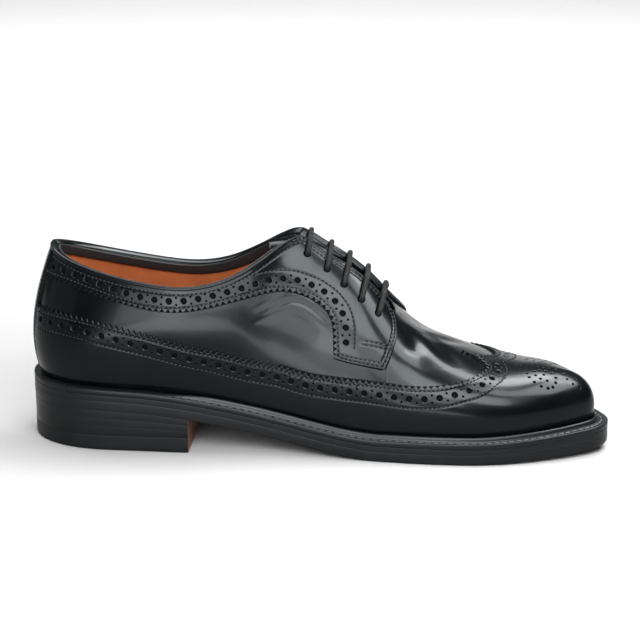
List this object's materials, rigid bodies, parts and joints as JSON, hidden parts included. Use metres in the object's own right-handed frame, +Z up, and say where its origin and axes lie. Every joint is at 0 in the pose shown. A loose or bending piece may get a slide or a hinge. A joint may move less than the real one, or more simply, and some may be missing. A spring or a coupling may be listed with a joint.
{
  "type": "derby shoe",
  "caption": "Left black leather derby shoe: long-wing brogue upper, open-laced facings, storm welt, double leather sole and stacked heel.",
  "frame": {"origin": "on the floor, under the middle of the shoe's length and width", "axes": "+X towards the toe, +Y towards the outer side of the foot, +Z up"},
  "size_m": [0.308, 0.102, 0.1151],
  "materials": {
    "upper_leather": "polished black calf",
    "tongue_leather": "soft black calf",
    "sole_edge": "inked and waxed sole leather",
    "heel_leather": "inked and waxed heel lifts",
    "insole_leather": "tan vegetable-tanned leather",
    "lace": "round waxed cotton"
  },
  "bodies": {
    "root": {"outsole": "sole_edge", "midsole": "sole_edge", "welt": "sole_edge", "heel_stack": "heel_leather", "heel_top_piece": "heel_leather", "insole": "insole_leather", "upper": "upper_leather", "wing": "upper_leather", "facing_medial": "upper_leather", "facing_lateral": "upper_leather", "heel_strip": "upper_leather", "tongue": "tongue_leather", "lace_bar_1": "lace", "lace_bar_2": "lace", "lace_bar_3": "lace", "lace_bar_4": "lace", "lace_bar_5": "lace"}
  },
  "joints": []
}
